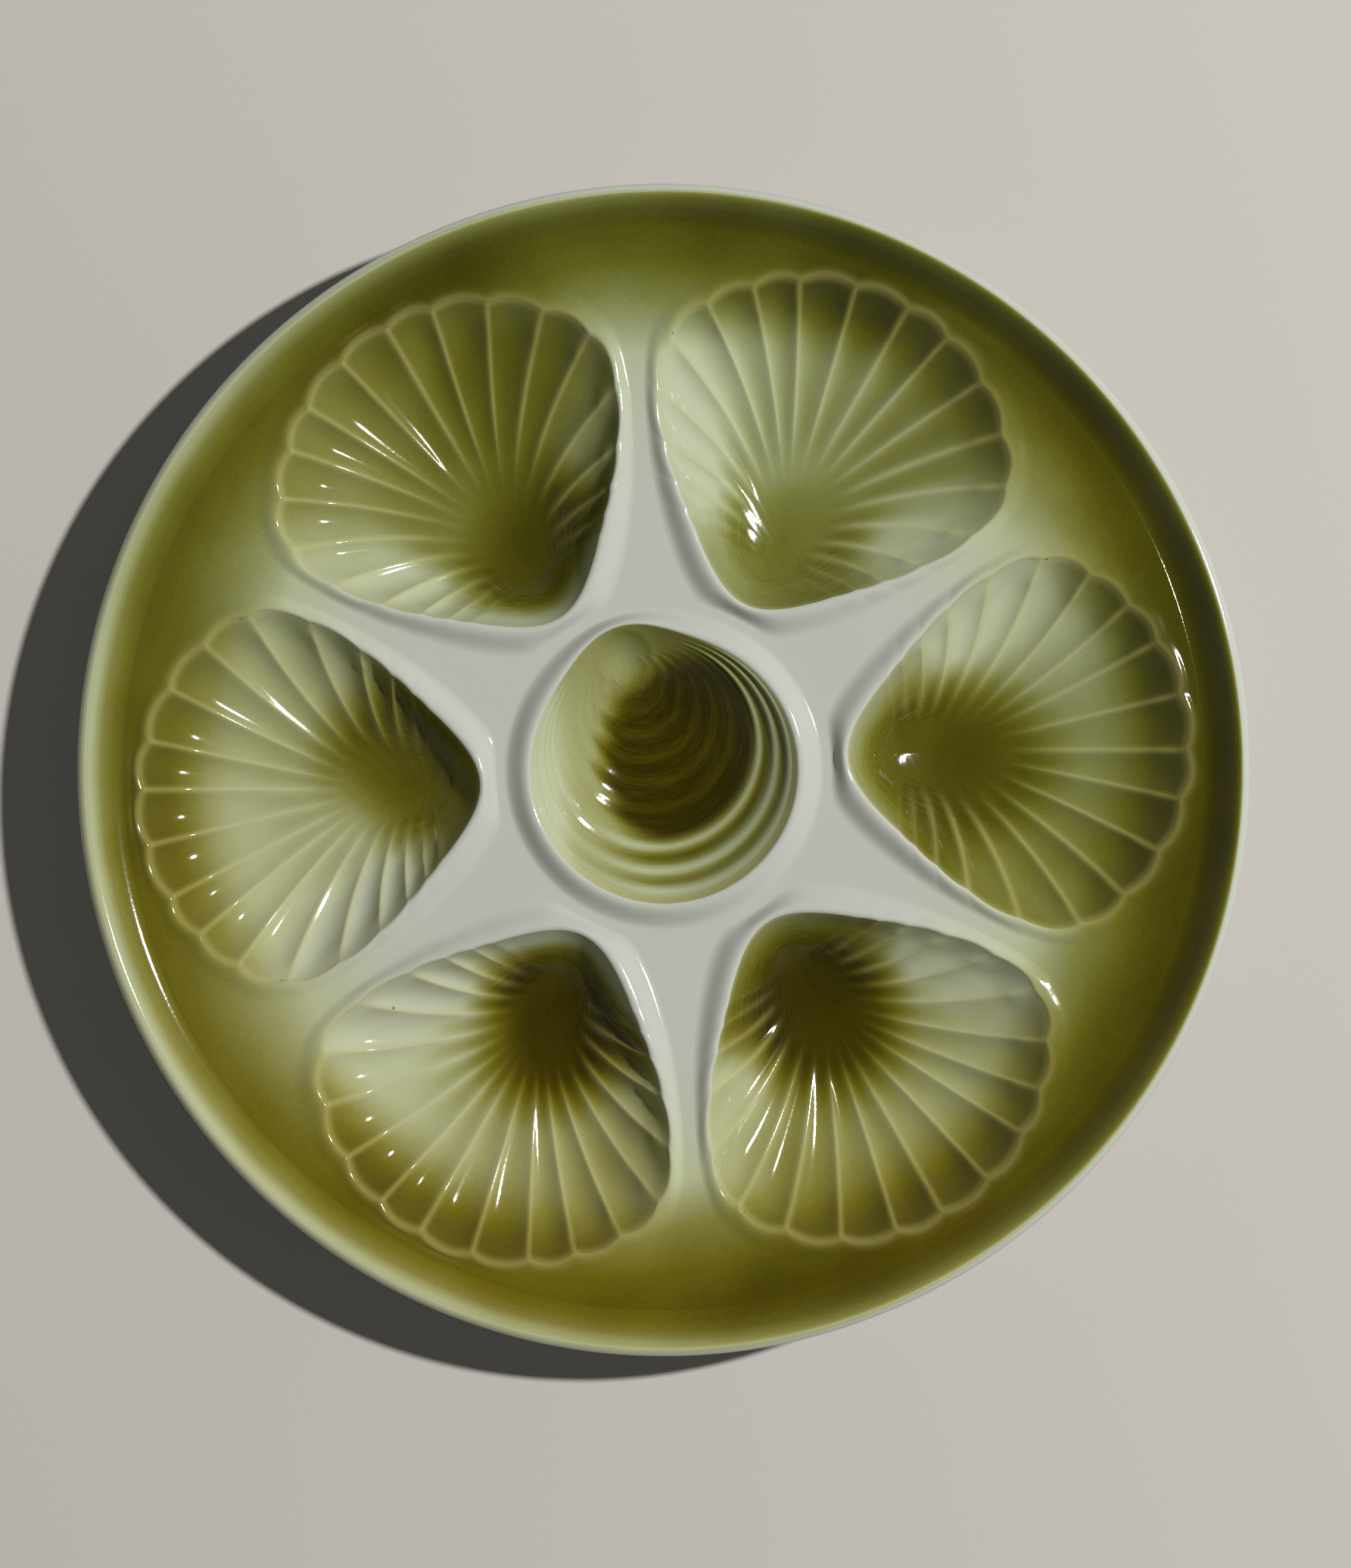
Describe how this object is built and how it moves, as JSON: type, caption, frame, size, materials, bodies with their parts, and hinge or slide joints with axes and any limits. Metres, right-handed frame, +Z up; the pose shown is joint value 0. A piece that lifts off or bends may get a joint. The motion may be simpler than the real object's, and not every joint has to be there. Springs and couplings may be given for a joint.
{
  "type": "oyster plate",
  "caption": "Round moulded faience plate with scallop-shell wells for oysters round a clam-shaped sauce well, raised rim and foot ring.",
  "frame": {"origin": "centre of the foot ring, on the plane that the plate stands on", "axes": "+Z up out of the plate's face, +X along the middle of the first shell well"},
  "size_m": [0.24, 0.24, 0.0257],
  "materials": {
    "white_glazed_body": "glossy white tin glaze on fired earthenware, sprayed green towards the rim, bare clay on the foot ring's edge",
    "rim_green_glaze": "glossy olive green glaze, darkest in the channel, thin and cream on the crest of the lip",
    "centre_green_glaze": "glossy olive green glaze, brown where it pools, pale on the steps of the growth bands",
    "shell_green_glaze": "glossy celadon and olive green glaze, dark in the pool, pale over the flutes, cream on the ribs"
  },
  "bodies": {
    "root": {"plate_body": "white_glazed_body", "rim_glaze": "rim_green_glaze", "centre_well_glaze": "centre_green_glaze", "well_glaze_1": "shell_green_glaze", "well_glaze_2": "shell_green_glaze", "well_glaze_3": "shell_green_glaze", "well_glaze_4": "shell_green_glaze", "well_glaze_5": "shell_green_glaze", "well_glaze_6": "shell_green_glaze"}
  },
  "joints": []
}
